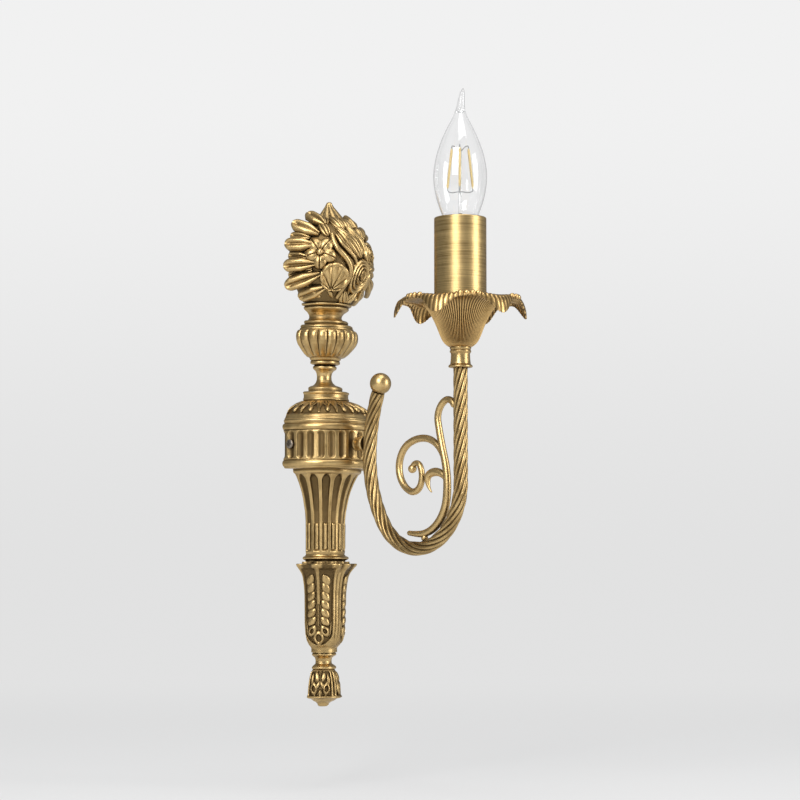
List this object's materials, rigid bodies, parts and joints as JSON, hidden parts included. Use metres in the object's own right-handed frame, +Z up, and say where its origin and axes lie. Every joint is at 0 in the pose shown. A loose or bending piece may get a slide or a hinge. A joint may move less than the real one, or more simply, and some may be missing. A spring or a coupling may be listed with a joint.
{
  "type": "wall sconce",
  "caption": "Half-round wall column with a rope-twist arm, scroll, leaf drip pan, candle sleeve and flame-tip lamp in a screw holder.",
  "frame": {"origin": "midpoint between the two wall slots, on the wall plane, level with the arm's stub", "axes": "+Z up, +Y into the wall (the room and the candle are on the -Y side), +X to the right when facing the wall"},
  "size_m": [0.0836, 0.1829, 0.4073],
  "materials": {
    "cast_brass": "antique brass casting, worn bright on the ridges and dark in the recesses",
    "arm_brass": "antique brass rod, worn",
    "pan_brass": "antique brass sheet, lighter",
    "brushed_brass": "brushed round, aged",
    "contact_brass": "bright",
    "zinc_steel": "zinc plated",
    "dark_screw": "blackened",
    "black_rubber": "matte",
    "block_plastic": "matte",
    "holder_plastic": "matte",
    "cap_metal": "bright",
    "cap_glass": "gloss",
    "clear_glass": "clear",
    "filament": "phosphor-coated",
    "wire_metal": "plain"
  },
  "bodies": {
    "sconce": {"drum_shell": "cast_brass", "drum_dome": "cast_brass", "dome_collar": "cast_brass", "spindle_neck": "cast_brass", "urn": "cast_brass", "urn_rings": "cast_brass", "head_throat": "cast_brass", "flower_head": "cast_brass", "fluted_shaft": "cast_brass", "shaft_ring": "cast_brass", "leaf_cup": "cast_brass", "cup_spindle": "cast_brass", "drop_finial": "cast_brass", "upper_tie_rod": "zinc_steel", "lower_tie_rod": "zinc_steel", "tie_nuts": "zinc_steel", "tie_washers": "zinc_steel", "wall_bracket": "zinc_steel", "cable_grommet": "black_rubber", "side_screws": "dark_screw", "terminal_block": "block_plastic", "arm_stub": "arm_brass", "stub_nut": "zinc_steel", "stub_washer": "zinc_steel", "rope_arm": "arm_brass", "arm_ball": "arm_brass", "scroll": "arm_brass", "scroll_bead": "arm_brass", "candle_spool": "arm_brass", "threaded_nipple": "zinc_steel", "drip_pan": "pan_brass", "pan_nut": "zinc_steel", "lamp_holder": "holder_plastic", "screw_shell": "cap_metal", "centre_contact": "contact_brass"},
    "sleeve": {"candle_sleeve": "brushed_brass"},
    "lamp_lift": {"lamp_tip_contact": "cap_metal"},
    "lamp": {"lamp_cap_insulator": "cap_glass", "lamp_cap": "cap_metal", "lamp_glass": "clear_glass", "lamp_stem": "clear_glass", "lamp_filaments": "filament", "filament_wires": "wire_metal"}
  },
  "joints": [
    {"name": "sleeve_lift", "type": "slide", "parent": "sconce", "child": "sleeve", "axis": [0, 0, 1], "range_m": [0, 0.012]},
    {"name": "bulb_lift", "type": "slide", "parent": "sconce", "child": "lamp_lift", "axis": [0, 0, 1], "range_m": [0, 0.0142]},
    {"name": "bulb_turn", "type": "hinge", "parent": "lamp_lift", "child": "lamp", "pos_m": [0, -0.1392, 0.12], "axis": [0, 0, 1], "range_deg": [0, 1800]}
  ],
  "couplings": [
    {"joint": "bulb_lift", "follows": "bulb_turn", "m_per_rad": 0.00044882}
  ]
}
